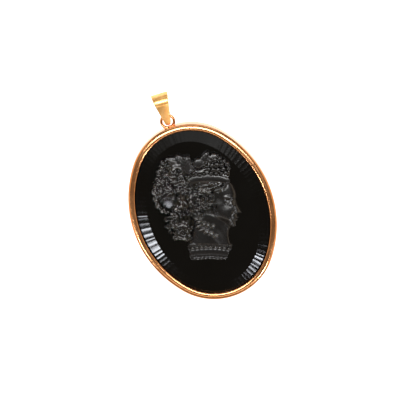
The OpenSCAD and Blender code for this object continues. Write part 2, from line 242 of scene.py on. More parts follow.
def polished_black_glass():
    """Pressed black glass, ground and polished on its table and bevel.

    A dark mirror: all that shows is the clear reflection of what is around it, a little dulled by
    handling, so its index of refraction is set just under that of clean glass."""
    material, tree, place = new_material("polished_black_glass")
    smudge = add_node(tree, "ShaderNodeTexNoise", {"Scale": 1 / (6 * MM), "Detail": 5.0}, {"Vector": place})
    rough = add_node(tree, "ShaderNodeMapRange",
                     {"From Min": 0.35, "From Max": 0.8, "To Min": 0.12, "To Max": 0.17},
                     {"Value": smudge.outputs["Fac"]})
    shader = add_node(tree, "ShaderNodeBsdfPrincipled",
                      {"Base Color": linear("050505"), "IOR": 1.43},
                      {"Roughness": rough.outputs["Result"]})
    add_node(tree, "ShaderNodeOutputMaterial", links={"Surface": shader.outputs["BSDF"]})
    return material


def pressed_black_glass(name, refraction, smoothest, roughest):
    """The same glass as it leaves the mould, etched matt on the face and left bright in the hair.

    Matt places give a soft grey sheen, bright ones, with an index as high as lead glass has, a white
    glint on every strand, and hollows stay black."""
    material, tree, place = new_material(name)
    # etching grain of 0.06 mm
    grain = add_node(tree, "ShaderNodeTexNoise", {"Scale": 1 / (0.06 * MM), "Detail": 2.0}, {"Vector": place})
    cloud = add_node(tree, "ShaderNodeTexNoise", {"Scale": 1 / (2.5 * MM), "Detail": 4.0}, {"Vector": place})
    rough = add_node(tree, "ShaderNodeMapRange",
                     {"From Min": 0.3, "From Max": 0.75, "To Min": smoothest, "To Max": roughest},
                     {"Value": cloud.outputs["Fac"]})
    bump = add_node(tree, "ShaderNodeBump", {"Strength": 0.12, "Distance": 0.01 * MM},
                    {"Height": grain.outputs["Fac"]})
    shader = add_node(tree, "ShaderNodeBsdfPrincipled",
                      {"Base Color": linear("060506"), "IOR": refraction},
                      {"Roughness": rough.outputs["Result"], "Normal": bump.outputs["Normal"]})
    add_node(tree, "ShaderNodeOutputMaterial", links={"Surface": shader.outputs["BSDF"]})
    return material


def glowing_white_board():
    """Opal acrylic of a light table that the pendant lies on.

    Light comes up through it, so that shadows on it stay faint."""
    material, tree, _ = new_material("glowing_white_board")
    shader = add_node(tree, "ShaderNodeBsdfPrincipled",
                      {"Base Color": linear("62615F"), "Roughness": 0.7,
                       "Emission Color": linear("FFFFFF"), "Emission Strength": 1.5})
    add_node(tree, "ShaderNodeOutputMaterial", links={"Surface": shader.outputs["BSDF"]})
    return material


def select_only(piece):
    if bpy.context.mode != "OBJECT":
        bpy.ops.object.mode_set(mode="OBJECT")
    bpy.ops.object.select_all(action="DESELECT")
    piece.select_set(True)
    bpy.context.view_layer.objects.active = piece


def piece_from(name, points, edges, faces):
    """A new mesh object from points in millimetres."""
    mesh = bpy.data.meshes.new(name)
    mesh.from_pydata([tuple(c * MM for c in p) for p in points], edges, faces)
    mesh.update()
    piece = bpy.data.objects.new(name, mesh)
    bpy.context.scene.collection.objects.link(piece)
    select_only(piece)
    return piece


def apply_all(piece):
    select_only(piece)
    for modifier in list(piece.modifiers):
        bpy.ops.object.modifier_apply(modifier=modifier.name)


def put_in_mesh(piece):
    select_only(piece)
    bpy.ops.object.transform_apply(location=True, rotation=True, scale=True)


def close_seams(piece, gap=0.001):
    """Merges doubled points and turns all faces outwards."""
    select_only(piece)
    bpy.ops.object.mode_set(mode="EDIT")
    bpy.ops.mesh.select_all(action="SELECT")
    bpy.ops.mesh.remove_doubles(threshold=gap * MM)
    bpy.ops.mesh.normals_make_consistent(inside=False)
    bpy.ops.object.mode_set(mode="OBJECT")


def shade(piece, angle):
    select_only(piece)
    bpy.ops.object.shade_smooth_by_angle(angle=math.radians(angle))


def arc(cx, cy, radius, start, end, steps):
    """Points on an arc, angles in degrees."""
    out = []
    for i in range(steps + 1):
        a = math.radians(start + (end - start) * i / steps)
        out.append((cx + radius * math.cos(a), cy + radius * math.sin(a)))
    return out


def half_crown(radius, reach, edge):
    """From a wall over its small round edge up to the crown's highest line, drawn for the outer side."""
    low = BEZEL_HEIGHT - radius
    turn = math.degrees(math.acos((reach - edge) / (radius - edge)))
    edge_height = low + math.sqrt((radius - edge) ** 2 - (reach - edge) ** 2)
    points = arc(-CROWN_PLACE + reach - edge, edge_height, edge, 0, turn, 4)
    return points + arc(-CROWN_PLACE, low, radius, turn, 90, 10)[1:]


def bezel_section():
    """The rim's section, x from the outer wall inwards as negative, y as height."""
    slope = (TABLE_HEIGHT - GIRDLE_TOP) / ((STONE_LENGTH - TABLE_LENGTH) / 2)
    inset = (BEZEL_LENGTH - STONE_LENGTH) / 2
    lip_floor = GIRDLE_TOP + (RIM_WIDTH - inset) * slope + SEAT_GAP
    seat_floor = GIRDLE_TOP - (inset - WALL) * slope + SEAT_GAP
    points = arc(-BACK_ROUND, BACK_ROUND, BACK_ROUND, -90, 0, 5)
    points += [(0, 1.0), (0, 2.0)]
    points += half_crown(CROWN_OUTER_RADIUS, CROWN_PLACE, OUTER_EDGE)
    points += [(-2 * CROWN_PLACE - x, z) for x, z in
               reversed(half_crown(CROWN_INNER_RADIUS, RIM_WIDTH - CROWN_PLACE, INNER_EDGE)[:-1])]
    points += [(-RIM_WIDTH, lip_floor), (-WALL, seat_floor), (-WALL, LEDGE)]
    points += [(-BACK_WIDTH + LEDGE_CHAMFER, LEDGE), (-BACK_WIDTH, LEDGE - LEDGE_CHAMFER)]
    points += [(-BACK_WIDTH, LEDGE_CHAMFER), (-BACK_WIDTH + LEDGE_CHAMFER, 0)]
    return points


def spun_arc(name, centre, radius, start, sweep):
    """One quarter of the oval: the section spun round its arc's centre."""
    section = bezel_section()
    turned = [
        (centre[0] + (radius + x) * math.cos(start), centre[1] + (radius + x) * math.sin(start), z)
        for x, z in section
    ]
    count = len(section)
    piece = piece_from(name, turned, [(i, (i + 1) % count) for i in range(count)], [])
    bpy.ops.object.mode_set(mode="EDIT")
    bpy.ops.mesh.select_all(action="SELECT")
    bpy.ops.mesh.spin(steps=ARC_STEPS, angle=sweep,
                      center=(centre[0] * MM, centre[1] * MM, 0), axis=(0, 0, -1))
    bpy.ops.object.mode_set(mode="OBJECT")
    return piece


def join(pieces, name):
    select_only(pieces[0])
    for piece in pieces:
        piece.select_set(True)
    bpy.ops.object.join()
    pieces[0].name = name
    pieces[0].data.name = name
    return pieces[0]


def make_bezel():
    """Four spun arcs closed into an oval, with the ring and its solder on the upper end."""
    half_length = BEZEL_LENGTH / 2
    half_width = BEZEL_WIDTH / 2
    end_centre = half_length - END_RADIUS
    side_radius = (half_width ** 2 + end_centre ** 2 - END_RADIUS ** 2) / (2 * (half_width - END_RADIUS))
    side_centre = side_radius - half_width
    split = math.atan2(end_centre, side_centre)
    end_sweep = math.pi - 2 * split
    arcs = [
        spun_arc("arc_upper", (0, end_centre), END_RADIUS, split, end_sweep),
        spun_arc("arc_left", (side_centre, 0), side_radius, math.pi - split, 2 * split),
        spun_arc("arc_lower", (0, -end_centre), END_RADIUS, math.pi + split, end_sweep),
        spun_arc("arc_right", (-side_centre, 0), side_radius, -split, 2 * split),
    ]
    oval = join(arcs, "bezel_rim")
    close_seams(oval)

    bpy.ops.mesh.primitive_torus_add(
        major_radius=RING_RADIUS * MM, minor_radius=RING_WIRE / 2 * MM,
        major_segments=96, minor_segments=24, location=(0, RING_Y * MM, RING_HEIGHT * MM))
    ring = bpy.context.active_object
    put_in_mesh(ring)

    # solder: a flattened drop between the ring and the wall
    bpy.ops.mesh.primitive_uv_sphere_add(
        segments=32, ring_count=20, radius=SOLDER_RADIUS * MM,
        location=(0, (half_length + SOLDER_REACH) * MM, RING_HEIGHT * MM))
    solder = bpy.context.active_object
    solder.scale = SOLDER_SHAPE
    put_in_mesh(solder)
    piece = join([oval, ring, solder], "rose_gold_bezel")
    shade(piece, 40)
    return piece


def ellipse_corner(turn, length, width):
    """Point on an ellipse, turned clockwise from its upper end, in degrees."""
    a = math.radians(turn)
    return width / 2 * math.sin(a), length / 2 * math.cos(a)


def make_stone():
    """Body of the stone with a bevel ground as shallow flutes, one for each facet.

    A flute's hollow spreads a lamp's reflection into stripes, as on the real bevel."""
    draw = np.random.default_rng(OBJECT_SEED)
    count = FACETS * FACET_STEPS
    depth = FLUTE_DEPTH * draw.uniform(*FLUTE_SPREAD, FACETS)
    lean = draw.uniform(-FLUTE_LEAN, FLUTE_LEAN, FACETS)
    shift = draw.uniform(-FLUTE_SHIFT, FLUTE_SHIFT, FACETS + 1)
    shift[-1] = shift[0]

    def ring(share, z, flute):
        """A ring at height z, its size between girdle, share 0, and table, share 1."""
        length = STONE_LENGTH + (TABLE_LENGTH - STONE_LENGTH) * share
        width = STONE_WIDTH + (TABLE_WIDTH - STONE_WIDTH) * share
        out = []
        for k in range(FACETS):
            a = ellipse_corner(360 * (k + shift[k]) / FACETS, length, width)
            b = ellipse_corner(360 * (k + 1 + shift[k + 1]) / FACETS, length, width)
            for m in range(FACET_STEPS):
                t = m / FACET_STEPS
                hollow = 4 * t * (1 - t) * depth[k] + lean[k] * (t - 0.5) * math.sin(math.pi * t)
                out.append((a[0] + (b[0] - a[0]) * t, a[1] + (b[1] - a[1]) * t, z - flute * hollow))
        return out

    rings = [ring(0, STONE_BACK, 0), ring(0, GIRDLE_TOP - GIRDLE_EDGE, 0)]
    for row in range(BEVEL_ROWS + 1):
        share = row / BEVEL_ROWS
        rings.append(ring(share, GIRDLE_TOP + (TABLE_HEIGHT - GIRDLE_TOP) * share, 1))
    points = [p for r in rings for p in r]
    faces = [tuple(range(count))]
    for r in range(len(rings) - 1):
        for i in range(count):
            a, b = r * count + i, r * count + (i + 1) % count
            faces.append((a, a + count, b + count, b))
    top = (len(rings) - 1) * count
    faces.append(tuple(top + i for i in range(count)))
    piece = piece_from("black_stone", points, [], faces)
    close_seams(piece, 0.0001)
    shade(piece, 5)
    return piece


# Raised head, drawn in its own millimetres: x towards the face, y towards the crown.
# Each outline runs round its mass once.
FACE = [
    (1.0, 8.0), (4.5, 7.9), (6.35, 6.7), (7.0, 5.6), (7.4, 4.5), (7.52, 3.6),
    (7.42, 2.85), (7.62, 2.1), (8.02, 1.25), (8.48, 0.45), (8.72, 0.02), (8.66, -0.22),
    (8.35, -0.36), (7.88, -0.42), (7.78, -0.75), (7.98, -1.02), (8.08, -1.22),
    (7.98, -1.42), (7.72, -1.50), (7.94, -1.62), (7.97, -1.85), (7.75, -2.06),
    (7.50, -2.26), (7.56, -2.6), (7.62, -2.95), (7.45, -3.3), (7.0, -3.58),
    (6.2, -3.62), (5.2, -3.35), (4.0, -2.95), (2.2, -2.4), (0.6, -1.4), (0.0, 0.4), (-0.6, 3.0),
]
NECK = [
    (-2.2, 1.0), (4.0, -1.0), (6.1, -3.2), (5.95, -4.2), (5.9, -5.2), (6.0, -6.2),
    (6.25, -7.2), (6.6, -8.0), (1.8, -7.9), (-3.0, -7.6), (-2.4, -6.0), (-2.1, -4.0),
]
HAIR = [
    (5.5, 7.3), (6.1, 8.6), (6.0, 10.4), (4.9, 12.2), (2.4, 13.2), (0.2, 12.7), (-2.0, 12.0),
    (-4.5, 12.9), (-7.0, 12.2), (-8.8, 10.6), (-10.0, 8.6), (-10.5, 6.2), (-10.4, 3.6),
    (-9.5, 1.2), (-8.2, -0.6), (-7.4, -2.8), (-6.6, -4.6), (-5.6, -6.4), (-4.0, -6.9), (-2.9, -6.6),
    (-2.3, -4.4), (-2.0, -2.0), (-1.0, -0.5), (0.8, 0.2), (2.2, 1.2), (2.9, 2.6), (2.8, 4.0), (4.4, 5.6),
]
COLLAR = [
    (-3.1, -7.3), (1.5, -7.6), (6.5, -7.75), (6.0, -9.4),
    (5.0, -11.1), (1.2, -11.0), (-2.5, -11.2), (-3.0, -9.3),
]

# Broad heights over the table: of each mass at its edge, and its rise from there to its top
FACE_EDGE = 0.24
FACE_RISE = 1.06
FACE_ROUND = 5.0
NECK_EDGE = 0.30
NECK_RISE = 0.72
NECK_MIDDLE = 1.9
NECK_REACH = 4.9
SWELL_EDGE = 0.35
SWELL_RISE = 0.75
SWELL_MIDDLE = (-2, 4)
SWELL_REACH = (14, 15)
COLLAR_EDGE = 0.55
COLLAR_RISE = 0.45
COLLAR_MIDDLE = 1.4
COLLAR_REACH = 5.6

# Soft rises and hollows of the face: middle x and y, half length, half width, turn, rise
FACE_FORMS = [
    (6.2, 3.45, 2.0, 0.75, -4, 0.20),     # brow
    (3.2, 3.4, 2.0, 1.8, 0, -0.12),       # temple
    (6.15, 2.45, 1.7, 1.35, 8, -0.24),    # hollow of the eye
    (7.15, 2.35, 0.75, 0.9, 0, -0.14),    # inner corner
    (4.7, 1.0, 2.8, 1.7, -8, 0.05),       # cheekbone
    (5.0, -0.7, 2.8, 2.4, 0, 0.22),       # cheek
    (7.1, -1.45, 1.7, 1.7, 0, 0.16),      # muzzle
    (7.85, 0.75, 0.75, 1.2, 28, 0.10),    # side of the nose
    (7.62, 0.05, 0.62, 0.50, 0, 0.26),    # wing of the nose
    (6.98, 0.12, 0.32, 0.60, -10, -0.12),  # crease behind the wing
    (8.02, -0.28, 0.42, 0.17, 8, -0.24),  # nostril
    (7.25, -2.30, 0.95, 0.34, 0, -0.12),  # hollow under the lip
    (6.58, -1.62, 0.42, 0.36, 0, -0.14),  # corner of the mouth
    (7.0, -2.95, 1.25, 0.95, 0, 0.22),    # chin
    (4.6, -2.0, 2.0, 1.0, -25, -0.06),    # hollow above the jaw
]
# Fine ridges and creases of the face: half width, rise, points
FACE_LINES = [
    (0.24, 0.13, [(8.05, -1.2), (7.4, -1.28), (6.8, -1.5)]),  # upper lip
    (0.26, 0.14, [(7.95, -1.8), (7.4, -1.86), (6.9, -1.72)]),  # lower lip
    (0.08, -0.20, [(8.05, -1.5), (7.5, -1.5), (6.9, -1.53), (6.6, -1.6)]),  # line of the mouth
    (0.22, -0.07, [(6.95, 0.2), (6.55, -0.5), (6.4, -1.2)]),  # fold by the nose
    (0.12, 0.11, [(5.5, 2.0), (5.95, 2.45), (6.5, 2.75), (7.1, 2.78)]),  # upper lid
    (0.10, 0.09, [(5.6, 1.95), (6.1, 1.66), (6.6, 1.55), (7.0, 1.58)]),  # lower lid
    (0.11, -0.10, [(5.3, 2.4), (5.8, 2.9), (6.4, 3.1), (7.05, 3.1)]),  # fold over the lid
]
EYEBALL = (6.55, 2.15, 0.72, 0.60, 0, 0.30)
KNOT = (-7.2, 2.2, 2.5, 2.6, 0)
# Way across the knot towards the wreath, and the x left of which matt carving belongs to the knot
KNOT_WAY = (0.903, 0.431)
KNOT_LIMIT = -4
NECK_LINES = [
    (0.55, 0.08, [(-1.0, -1.5), (0.6, -4.0), (3.4, -7.4)]),
    (0.40, -0.05, [(3.6, -3.9), (4.7, -5.5), (5.2, -7.2)]),
]


def smooth_loop(points, passes=2):
    """A closed outline with rounded corners that still runs through its points."""
    points = [np.array(p, float) for p in points]
    for _ in range(passes):
        count = len(points)
        finer = []
        for i in range(count):
            a, b, c, d = points[i - 1], points[i], points[(i + 1) % count], points[(i + 2) % count]
            finer.append(b)
            finer.append((9 * (b + c) - a - d) / 16)
        points = finer
    return np.array(points)


def smooth_line(points, steps=6):
    """A smooth open line through its points."""
    points = [np.array(p, float) for p in points]
    out = []
    for i in range(len(points) - 1):
        a, b, c = points[max(i - 1, 0)], points[i], points[i + 1]
        d = points[min(i + 2, len(points) - 1)]
        for s in range(steps):
            t = s / steps
            out.append(0.5 * (2 * b + (c - a) * t + (2 * a - 5 * b + 4 * c - d) * t ** 2
                              + (3 * b - a - 3 * c + d) * t ** 3))
    out.append(points[-1])
    return np.array(out)


def quarter_round(depth, width):
    """0 at an edge and 1 from the given width inwards."""
    return np.sqrt(1 - (1 - np.clip(depth / width, 0, 1)) ** 2)


def round_top(share):
    """Height of a round form, 0 on its rim, where the share is 0, and 1 in its middle."""
    return np.sqrt(np.clip(share, 0, 1))


def ease(share):
    """A smooth step from 0 to 1."""
    share = np.clip(share, 0, 1)
    return share * share * (3 - 2 * share)


def blur(field, passes):
    """Softens a field with a small even kernel."""
    for _ in range(passes):
        field = (np.roll(field, 1, 0) + 2 * field + np.roll(field, -1, 0)) / 4
        field = (np.roll(field, 1, 1) + 2 * field + np.roll(field, -1, 1)) / 4
    return field


def turned(x, y, turn):
    """The same places on axes that are turned to the left, by radians."""
    c, s = math.cos(turn), math.sin(turn)
    return x * c + y * s, y * c - x * s


def fill(x, y, form):
    """1 in the middle of an ellipse and 0 on its rim."""
    cx, cy, half_length, half_width, turn = form[:5]
    u, v = turned(x - cx, y - cy, math.radians(turn))
    u, v = u / half_length, v / half_width
    return 1 - u * u - v * v


def bell(x, y, form):
    """A soft rise of a form's own height, flat on its rim."""
    return form[5] * np.clip(fill(x, y, form), 0, 1) ** 2


def square_distance(x, y, start, end):
    """Square of the distance from each place to a straight stretch of line."""
    (ax, ay), (bx, by) = start, end
    dx, dy = bx - ax, by - ay
    t = np.clip(((x - ax) * dx + (y - ay) * dy) / (dx * dx + dy * dy + 1e-12), 0, 1)
    return (x - ax - t * dx) ** 2 + (y - ay - t * dy) ** 2


def crosses(x, y, start, end):
    """True where a ray from a place towards the right meets one side of an outline."""
    (ax, ay), (bx, by) = start, end
    if ay == by:
        return np.zeros(np.shape(x), bool)
    return ((ay > y) != (by > y)) & (x < ax + (y - ay) / (by - ay) * (bx - ax))


def ridge(x, y, line, width):
    """1 on a line, falling off softly beside it."""
    best = np.full(x.shape, FAR)
    for start, end in zip(line[:-1], line[1:]):
        best = np.minimum(best, square_distance(x, y, start, end))
    return np.exp(-best / (width * width))


def swell(x, y):
    """The broad rise that hair and wreath lie on."""
    across = (x - SWELL_MIDDLE[0]) / SWELL_REACH[0]
    up = (y - SWELL_MIDDLE[1]) / SWELL_REACH[1]
    return SWELL_EDGE + SWELL_RISE * np.sqrt(np.clip(1 - across ** 2 - up ** 2, 0.02, 1))


def with_neighbours(mask):
    """A mask grown by one place to each side."""
    return (mask | np.roll(mask, 1, 0) | np.roll(mask, -1, 0)
            | np.roll(mask, 1, 1) | np.roll(mask, -1, 1))


def set_border(mask, value):
    mask[0, :] = mask[-1, :] = value
    mask[:, 0] = mask[:, -1] = value


class Carving:
    """Height of the raised head over the table, on a grid.

    matt keeps the height of hair that is etched matt, and bright marks what stays bright."""

    def __init__(self):
        self.xs = np.arange(-12.6, 9.6, CARVING_PITCH)
        self.ys = np.arange(-12.0, 15.0, CARVING_PITCH)
        self.x, self.y = np.meshgrid(self.xs, self.ys)
        self.h = np.zeros_like(self.x)
        self.matt = np.full_like(self.h, -1)
        self.bright = np.zeros(self.h.shape, bool)
        self.draw = np.random.default_rng(OBJECT_SEED)

    def window(self, x0, x1, y0, y1):
        """The part of the grid between two x and two y."""
        i0 = max(int((y0 - self.ys[0]) / CARVING_PITCH), 0)
        i1 = min(int((y1 - self.ys[0]) / CARVING_PITCH) + 2, len(self.ys))
        j0 = max(int((x0 - self.xs[0]) / CARVING_PITCH), 0)
        j1 = min(int((x1 - self.xs[0]) / CARVING_PITCH) + 2, len(self.xs))
        return slice(i0, i1), slice(j0, j1)

    def around(self, cx, cy, reach):
        """The part of the grid round a place, and its x and y."""
        where = self.window(cx - reach, cx + reach, cy - reach, cy + reach)
        return where, self.x[where], self.y[where]

    def depth_in(self, outline):
        """Distance inside an outline, negative outside it."""
        x, y = self.x, self.y
        best = np.full(x.shape, FAR)
        inside = np.zeros(x.shape, bool)
        for start, end in zip(outline, np.roll(outline, -1, 0)):
            best = np.minimum(best, square_distance(x, y, start, end))
            inside ^= crosses(x, y, start, end)
        return np.where(inside, np.sqrt(best), -np.sqrt(best))

    def raise_to(self, height):
        self.h = np.maximum(self.h, height)

    def face(self):
        x, y = self.x, self.y
        depth = self.depth_in(smooth_loop(FACE))
        mound = blur(quarter_round(depth, FACE_ROUND), 12)
        h = FACE_EDGE + FACE_RISE * mound * (1 - 0.3 * ease((5 - x) / 5))
        for form in FACE_FORMS:
            h = h + bell(x, y, form)
        for width, rise, points in FACE_LINES:
            h = h + rise * ridge(x, y, smooth_line(points), width)
        h = h + EYEBALL[5] * round_top(fill(x, y, EYEBALL))
        self.raise_to(np.where(depth > 0, h, 0))

    def neck(self):
        x, y = self.x, self.y
        depth = self.depth_in(smooth_loop(NECK))
        h = NECK_EDGE + NECK_RISE * round_top(1 - ((x - NECK_MIDDLE) / NECK_REACH) ** 2)
        # thicker towards the shoulders
        h = h + 0.03 * np.clip(-3 - y, 0, 5)
        for width, rise, points in NECK_LINES:
            h = h + rise * ridge(x, y, smooth_line(points), width)
        h = h * (0.55 + 0.45 * quarter_round(depth, 0.8))
        self.raise_to(np.where(depth > 0, h, 0))

    def hair_mass(self):
        depth = self.depth_in(smooth_loop(HAIR))
        h = swell(self.x, self.y) * (0.5 + 0.4 * quarter_round(depth, 1.6))
        self.raise_to(np.where(depth > 0, h, 0))

    def cut_round(self, where, dist, reach, width, amount):
        """A narrow channel beside a form, so that it stands free of what is under it."""
        h = self.h[where]
        cut = amount * np.exp(-((dist - reach) / width) ** 2)
        self.h[where] = np.where(h > STANDING, np.maximum(h - cut, CHANNEL_FLOOR), h)

    def lock(self, points, width, lift, strands=3, ends=(0.25, 0.0),
             smooth=True, level=None, channel=0.22):
        """A lock of hair along a line, grooved into strands and thinner at its ends.

        It lies on the swell of the hair, or at a level of its own, in a channel cut beside it."""
        line = smooth_line(points) if smooth else np.array(points, float)
        low, high = line.min(0) - width, line.max(0) + width
        where = self.window(low[0], high[0], low[1], high[1])
        x, y = self.x[where], self.y[where]
        lengths = np.hypot(*(line[1:] - line[:-1]).T)
        start = 0.0
        dist = np.full(x.shape, FAR)
        side = np.zeros(x.shape)
        share = np.zeros(x.shape)
        for (ax, ay), (bx, by), length in zip(line[:-1], line[1:], lengths):
            dx, dy = (bx - ax) / length, (by - ay) / length
            s = np.clip((x - ax) * dx + (y - ay) * dy, 0, length)
            qx, qy = x - ax - s * dx, y - ay - s * dy
            here = np.hypot(qx, qy)
            near = here < dist
            dist = np.where(near, here, dist)
            side = np.where(near, np.sign(dx * qy - dy * qx), side)
            share = np.where(near, (start + s) / lengths.sum(), share)
            start += length
        half = width / 2 * np.minimum(ends[0] + (1 - ends[0]) * ease(share / 0.3),
                                      ends[1] + (1 - ends[1]) * ease((1 - share) / 0.35))
        half = np.maximum(half, 0.02)
        u = dist / half
        grooves = 1 - GROOVE + GROOVE * np.cos(math.pi * strands * (u * side + 1))
        ground = swell(x, y) if level is None else level
        self.cut_round(where, np.maximum(dist, half), half, width=0.13, amount=channel)
        top = ground + lift * round_top(1 - u * u) * grooves
        self.h[where] = np.where(u < 1, np.maximum(self.h[where], top), self.h[where])

    def locks(self, rows, strands, **how):
        """Locks of one kind, a row each: points, width, lift."""
        for points, width, lift in rows:
            self.lock(points, width, lift, strands, **how)

    def curl(self, cx, cy, radius, start, hand, turns, lift, share):
        """A curl of hair wound in to its middle, on a low dome; its lock's width is a share of its radius."""
        where, x, y = self.around(cx, cy, 1.4 * radius)
        dist = np.hypot(x - cx, y - cy)
        self.cut_round(where, dist, radius, width=0.13, amount=0.15)
        body = swell(x, y) + 0.5 * lift * round_top(1 - (dist / radius) ** 2) - 0.15
        self.h[where] = np.where(dist < radius, body, self.h[where])
        width = radius * share
        reach = radius - width / 2
        count = int(14 * turns) + 2
        winding = []
        for i in range(count):
            t = i / (count - 1)
            a = math.radians(start) + hand * 2 * math.pi * turns * t
            r = reach * (1 - t) ** 0.85
            winding.append((cx + r * math.cos(a), cy + r * math.sin(a)))
        self.lock(winding, width, lift, 0, ends=(0.35, 0.5), smooth=False)

    def curls(self, rows, lift=0.36, share=0.6):
        """Curls of one kind, a row each: middle x and y, radius, start, hand, turns."""
        for row in rows:
            self.curl(*row, lift, share)

    def leaf(self, cx, cy, length, width, turn, lift, bend):
        """A leaf with a midrib and side veins."""
        where, x, y = self.around(cx, cy, length / 2 + 0.3)
        u, v = turned(x - cx, y - cy, math.radians(turn))
        u = u / (length / 2)
        v = v - bend * (1 - u * u)
        edge = width / 2 * round_top(1 - u * u) * (1 - 0.28 * u)
        inside = (np.abs(u) < 1) & (np.abs(v) < edge)
        w = np.clip(np.abs(v) / np.maximum(edge, 1e-3), 0, 1)
        rim = np.minimum((1 - w) * edge, (1 - np.abs(u)) * length / 2)
        blade = 0.30 + 0.70 * round_top(1 - w ** 2) * round_top(1 - 0.6 * u * u)
        vein_turns = (u * length / 2 - np.abs(v) * 0.9) / VEIN_SPACING
        veins = VEIN_RISE * np.cos(2 * math.pi * vein_turns) * (w < 0.85)
        midrib = MIDRIB_RISE * np.exp(-(v / MIDRIB_WIDTH) ** 2) * (np.abs(u) < 0.9)
        ground = 0.3 * swell(x, y) + 0.7 * swell(cx, cy)
        top = np.where(rim < LEAF_RIM, ground + lift * 0.5, ground + lift * (blade + veins) + midrib)
        self.h[where] = np.where(inside, np.maximum(self.h[where], top), self.h[where])

    def berry(self, cx, cy, radius, lift=None, level=None, eye=0.10):
        """A round berry or bead, with a dimple of the depth of its eye on top."""
        lift = radius if lift is None else lift
        where, x, y = self.around(cx, cy, 2 * radius)
        dist = np.hypot(x - cx, y - cy)
        self.cut_round(where, dist, radius, width=0.10, amount=0.12)
        ground = swell(x, y) if level is None else level
        top = ground + lift * round_top(1 - (dist / radius) ** 2)
        top = top - eye * np.exp(-(dist / 0.10) ** 2)
        self.h[where] = np.where(dist < radius, np.maximum(self.h[where], top), self.h[where])

    def comb(self, first, last, count, width, lift, stray=0.10):
        """Locks side by side that pass from one line to another, each a little out of line."""
        first, last = np.array(first, float), np.array(last, float)
        for i in range(count):
            t = i / (count - 1)
            points = first * (1 - t) + last * t + self.draw.normal(0, stray, first.shape)
            self.lock(points.tolist(), width * self.draw.uniform(0.85, 1.2),
                      lift * self.draw.uniform(0.8, 1.25), 1)

    def ringlets(self, outline, spacing, radius, lift):
        """Small open rings of hair, packed closely inside an outline."""
        outline = np.array(outline, float)
        low, high = outline.min(0), outline.max(0)
        rows = int((high[1] - low[1]) / (spacing * ROW_SPACING)) + 1
        columns = int((high[0] - low[0]) / spacing) + 1
        for j in range(rows):
            for i in range(columns):
                cx = low[0] + (i + 0.5 * (j % 2)) * spacing + self.draw.normal(0, 0.1)
                cy = low[1] + j * spacing * ROW_SPACING + self.draw.normal(0, 0.1)
                inside = False
                for side in zip(outline, np.roll(outline, -1, 0)):
                    inside = inside ^ crosses(cx, cy, *side)
                start = self.draw.uniform(0, 360)
                sweep = self.draw.uniform(230, 330) * self.draw.choice([-1, 1])
                size = radius * self.draw.uniform(0.8, 1.15)
                if inside:
                    points = arc(cx, cy, size, start, start + sweep, 12)
                    self.lock(points, size * 0.8, lift * self.draw.uniform(0.8, 1.2), 0,
                              ends=(0.6, 0.35), smooth=False)

    def rope(self, points, radius, lift, level=0.95):
        """A thin twisted lock, drawn as slanting beads."""
        line = smooth_line(points, 8)
        lengths = np.hypot(*(line[1:] - line[:-1]).T)
        ends = np.cumsum(lengths)
        count = int(ends[-1] / (radius * 1.9))
        for i in range(count + 1):
            k = min(int(np.searchsorted(ends, i / count * ends[-1])), len(lengths) - 1)
            across = line[k + 1] - line[k]
            turn = math.degrees(math.atan2(across[1], across[0])) + 55
            q = fill(self.x, self.y, (line[k][0], line[k][1], radius * 1.35, radius * 0.80, turn))
            self.raise_to(np.where(q > 0, level + lift * round_top(q), 0))


def carve_combed_hair(carving):
    """Fine hair on the crown and over the temple, under the larger locks."""
    carving.comb([(-2.6, 9.6), (-4.6, 9.2), (-6.4, 8.2), (-8.4, 7.2)],
                 [(-2.8, 5.2), (-4.2, 4.8), (-5.4, 4.7), (-6.2, 5.2)], 9, 0.75, 0.22)
    carving.comb([(-6.6, 11.2), (-8.0, 10.6), (-8.6, 9.0), (-8.8, 7.0)],
                 [(-5.4, 9.6), (-6.6, 9.0), (-7.6, 7.8), (-8.4, 5.6)], 4, 0.8, 0.25)
    carving.comb([(5.5, 7.3), (3.6, 7.0), (1.6, 6.9), (-1.0, 6.9)],
                 [(2.0, 4.6), (0.6, 4.7), (-0.8, 4.7), (-2.4, 4.6)], 7, 0.8, 0.24)


def carve_knot(carving):
    """Knot of hair: a smooth matt ball with strands round its right side."""
    x, y = carving.x, carving.y
    ball = fill(x, y, KNOT)
    across = (x - KNOT[0]) * KNOT_WAY[0] + (y - KNOT[1]) * KNOT_WAY[1]
    along = (y - KNOT[1]) * KNOT_WAY[0] - (x - KNOT[0]) * KNOT_WAY[1]
    slope = 0.42 + 0.36 * (across + 2.0) - 0.03 * along ** 2 - 0.035 * (across + 0.7) ** 2
    top = 1.42 - 0.30 * np.clip(across - 0.6, 0, 3) ** 2
    edge = quarter_round(np.clip(ball, 0, 1), 0.3)
    strand = ridge(x, y, smooth_line([(-9.2, 2.7), (-8.0, 3.2), (-6.6, 3.3), (-5.4, 2.9)]), 0.09)
    knot = blur(np.minimum(slope, top), 6) * (0.6 + 0.4 * edge) - 0.10 * strand
    carving.h = np.where(ball > 0, knot, carving.h)
    carving.matt = np.where(ball > 0, knot, carving.matt)
    carving.locks([
        ([(-8.6, 4.0), (-7.4, 4.1), (-6.3, 4.6), (-5.6, 5.0)], 0.95, 0.62),
        ([(-5.2, 4.8), (-4.5, 3.0), (-5.1, 1.0), (-7.2, -0.2)], 0.80, 0.52),
        ([(-5.7, 4.4), (-5.1, 2.9), (-5.6, 1.2), (-7.4, 0.2)], 0.62, 0.70),
        ([(-6.1, 4.1), (-5.6, 2.9), (-6.0, 1.5), (-7.6, 0.6)], 0.55, 0.85)], strands=1)
    carving.rope([(-9.2, 4.2), (-8.2, 4.7), (-7.0, 4.9), (-6.0, 5.5)], 0.26, 0.32, level=1.45)


